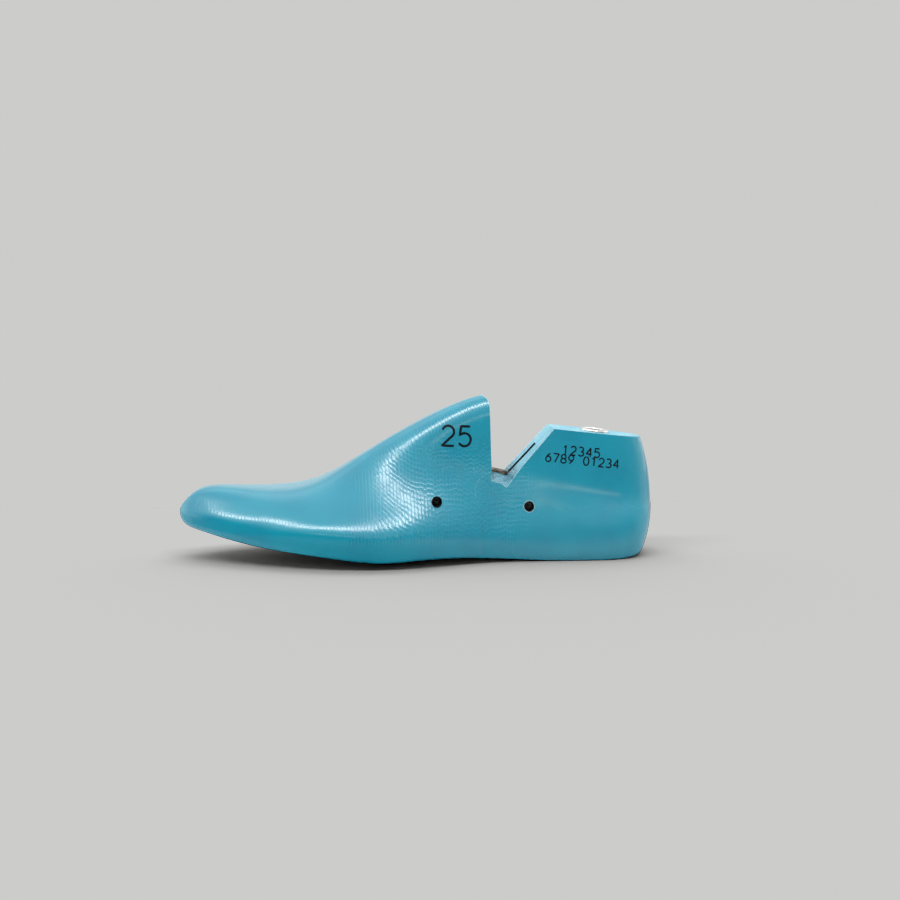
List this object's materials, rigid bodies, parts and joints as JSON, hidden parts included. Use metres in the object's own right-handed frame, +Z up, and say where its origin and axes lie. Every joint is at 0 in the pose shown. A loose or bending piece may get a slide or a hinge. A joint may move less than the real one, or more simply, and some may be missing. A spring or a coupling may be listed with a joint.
{
  "type": "cobbler last",
  "caption": "Hinged plastic shoe last for a left foot: a forepart and a heel part that fold at a V cut on a knuckle joint, a spring link in a saw slot, and a steel jack thimble in the heel top",
  "frame": {"origin": "middle of the footprint, on the plane that the sole rests on", "axes": "-X to the toe, +X to the heel, -Y to the outer side of the foot, +Z up"},
  "size_m": [0.26, 0.0869, 0.0889],
  "materials": {
    "forepart_plastic": "turquoise polyethylene, turned on a lathe, with fine tool marks and a soft sheen",
    "heel_plastic": "turquoise polyethylene, turned on a lathe, with fine upright tool marks",
    "spring_steel": "dark spring steel, browned",
    "pin_steel": "turned steel, dull",
    "thimble_steel": "bright tube steel, lightly worn"
  },
  "bodies": {
    "forepart": {"forepart": "forepart_plastic", "front_pin": "pin_steel"},
    "heel": {"heel_part": "heel_plastic", "rear_pin": "pin_steel", "thimble": "thimble_steel"},
    "link": {"hinge_link_left": "spring_steel", "hinge_link_middle": "spring_steel", "hinge_link_right": "spring_steel"}
  },
  "joints": [
    {"name": "fold", "type": "hinge", "parent": "forepart", "child": "heel", "pos_m": [0.03988, 0, 0.0379], "axis": [0, -1, 0], "range_deg": [0, 45], "stiffness_Nm_per_rad": 1.5, "springref_deg": -51.57},
    {"name": "link_swing", "type": "hinge", "parent": "forepart", "child": "link", "pos_m": [0.00818, 0, 0.0345], "axis": [0, -1, 0], "range_deg": [0, 18.5]}
  ],
  "couplings": [
    {"joint": "link_swing", "follows": "fold", "ratio": 0.392}
  ]
}
